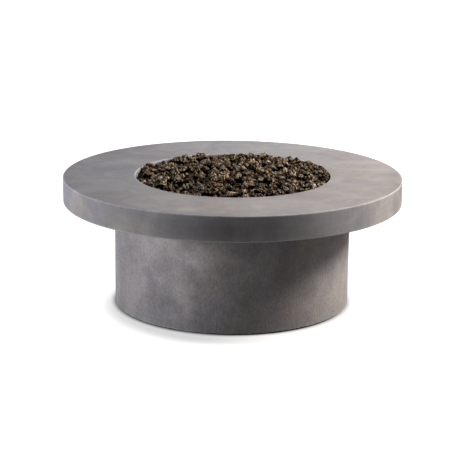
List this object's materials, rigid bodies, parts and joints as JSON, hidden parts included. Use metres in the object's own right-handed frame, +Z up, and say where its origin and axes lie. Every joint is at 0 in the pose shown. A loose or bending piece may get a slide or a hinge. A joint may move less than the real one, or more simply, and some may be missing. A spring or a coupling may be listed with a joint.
{
  "type": "round gas fire pit table",
  "caption": "Round concrete fire pit table: thick-edged ring top on a drum base, burner pan under lava rock, gas valve, igniter and service door at the back.",
  "frame": {"origin": "on the floor, under the centre of the drum and the top", "axes": "+Z up; -Y is the plain front seen in the picture; +Y is the service side with the door"},
  "size_m": [1.22, 1.22, 0.4957],
  "materials": {
    "cast_concrete_top": "matte",
    "cast_concrete_base": "matte",
    "black_rubber": "matte",
    "zinc_steel": "satin",
    "yellow_brass": "satin",
    "valve_casting": "satin",
    "stainless_steel": "satin",
    "corrugated_steel": "satin",
    "aluminium_tube": "satin",
    "copper_lead": "satin",
    "lead_insulation": "satin",
    "black_knob": "satin",
    "chrome_trim": "polished",
    "black_button": "gloss",
    "yellow_grip": "gloss",
    "fibre_gasket": "matte",
    "white_ceramic": "gloss",
    "lava_stone": "matte"
  },
  "bodies": {
    "fire_pit": {"air_mixer": "yellow_brass", "base_drum": "cast_concrete_base", "bracket_bolts": "zinc_steel", "burner_hose": "corrugated_steel", "burner_hub": "stainless_steel", "burner_inner_ring": "stainless_steel", "burner_outer_ring": "stainless_steel", "burner_pan": "stainless_steel", "burner_spokes": "stainless_steel", "burner_supports": "zinc_steel", "clip_screws": "zinc_steel", "concrete_inserts": "yellow_brass", "control_panel": "stainless_steel", "door_catch": "zinc_steel", "door_hinge_bushes": "yellow_brass", "door_thrust_washer": "stainless_steel", "flame_sensor": "stainless_steel", "foot_pads": "black_rubber", "gas_control_valve": "valve_casting", "gas_inlet": "yellow_brass", "hose_clips": "zinc_steel", "hose_fittings": "yellow_brass", "hub_nipple": "zinc_steel", "igniter_housing": "chrome_trim", "igniter_nut": "stainless_steel", "inlet_elbow": "yellow_brass", "inlet_locknut": "yellow_brass", "lava_bed": "lava_stone", "lava_rocks": "lava_stone", "lava_rocks_top": "lava_stone", "pan_gasket": "fibre_gasket", "pan_nuts": "zinc_steel", "pilot_bracket": "stainless_steel", "pilot_head": "stainless_steel", "pilot_shield": "stainless_steel", "pilot_tube": "aluminium_tube", "plate_screws": "stainless_steel", "seat_pads": "black_rubber", "sensor_lead": "copper_lead", "shutoff_valve": "yellow_brass", "spark_electrode": "white_ceramic", "spark_lead": "lead_insulation", "supply_hose": "corrugated_steel", "table_top": "cast_concrete_top", "top_brackets": "zinc_steel", "valve_nose_nut": "yellow_brass", "vent_grilles": "stainless_steel"},
    "door": {"access_door": "cast_concrete_base", "door_hinge_pins": "stainless_steel", "door_pull": "stainless_steel", "door_pull_nut": "zinc_steel", "door_strike": "zinc_steel"},
    "knob_push": {"stem_washer": "stainless_steel"},
    "knob": {"control_knob": "black_knob", "valve_stem": "stainless_steel"},
    "igniter": {"igniter_button": "black_button"},
    "shutoff": {"shutoff_lever": "stainless_steel", "shutoff_stem": "yellow_brass", "lever_grip": "yellow_grip", "lever_nut": "zinc_steel"}
  },
  "joints": [
    {"name": "door_swing", "type": "hinge", "parent": "fire_pit", "child": "door", "pos_m": [-0.12853, 0.39407, 0.197], "axis": [0, 0, 1], "range_deg": [0, 100]},
    {"name": "knob_push", "type": "slide", "parent": "fire_pit", "child": "knob_push", "axis": [0.6428, -0.766, 0], "range_m": [0, 0.003], "stiffness_N_per_m": 1500, "springref_m": -0.002},
    {"name": "knob_turn", "type": "hinge", "parent": "knob_push", "child": "knob", "pos_m": [-0.29666, 0.30065, 0.25], "axis": [-0.6428, 0.766, 0], "range_deg": [0, 180]},
    {"name": "igniter_press", "type": "slide", "parent": "fire_pit", "child": "igniter", "axis": [0.6428, -0.766, 0], "range_m": [0, 0.004], "stiffness_N_per_m": 1200, "springref_m": -0.002},
    {"name": "shutoff_turn", "type": "hinge", "parent": "fire_pit", "child": "shutoff", "pos_m": [-0.25938, 0.25622, 0.189], "axis": [0.6428, -0.766, 0], "range_deg": [0, 90]}
  ]
}
